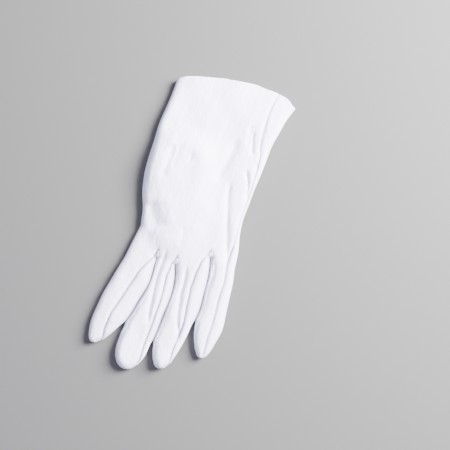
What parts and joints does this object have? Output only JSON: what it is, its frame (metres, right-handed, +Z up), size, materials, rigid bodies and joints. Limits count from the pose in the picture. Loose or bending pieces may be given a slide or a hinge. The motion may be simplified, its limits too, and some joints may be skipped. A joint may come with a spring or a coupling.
{
  "type": "white parade glove",
  "caption": "A left-hand dress glove of thin white cotton knit, lying back up and empty, with long fingers, strips sewn between them, a bowed cuff and the thumb folded under the palm.",
  "frame": {"origin": "middle of the glove's bounding box, on the surface that the glove lies on", "axes": "+Y from the cuff to the fingertips, +X to the index finger's side, +Z up out of the back of the hand"},
  "size_m": [0.1056, 0.251, 0.0149],
  "materials": {
    "cotton": "matt white cotton knit"
  },
  "bodies": {
    "root": {"back_panel": "cotton", "palm_panel": "cotton", "fourchette_index_middle": "cotton", "fourchette_middle_ring": "cotton", "fourchette_ring_little": "cotton", "thumb": "cotton"}
  },
  "joints": []
}
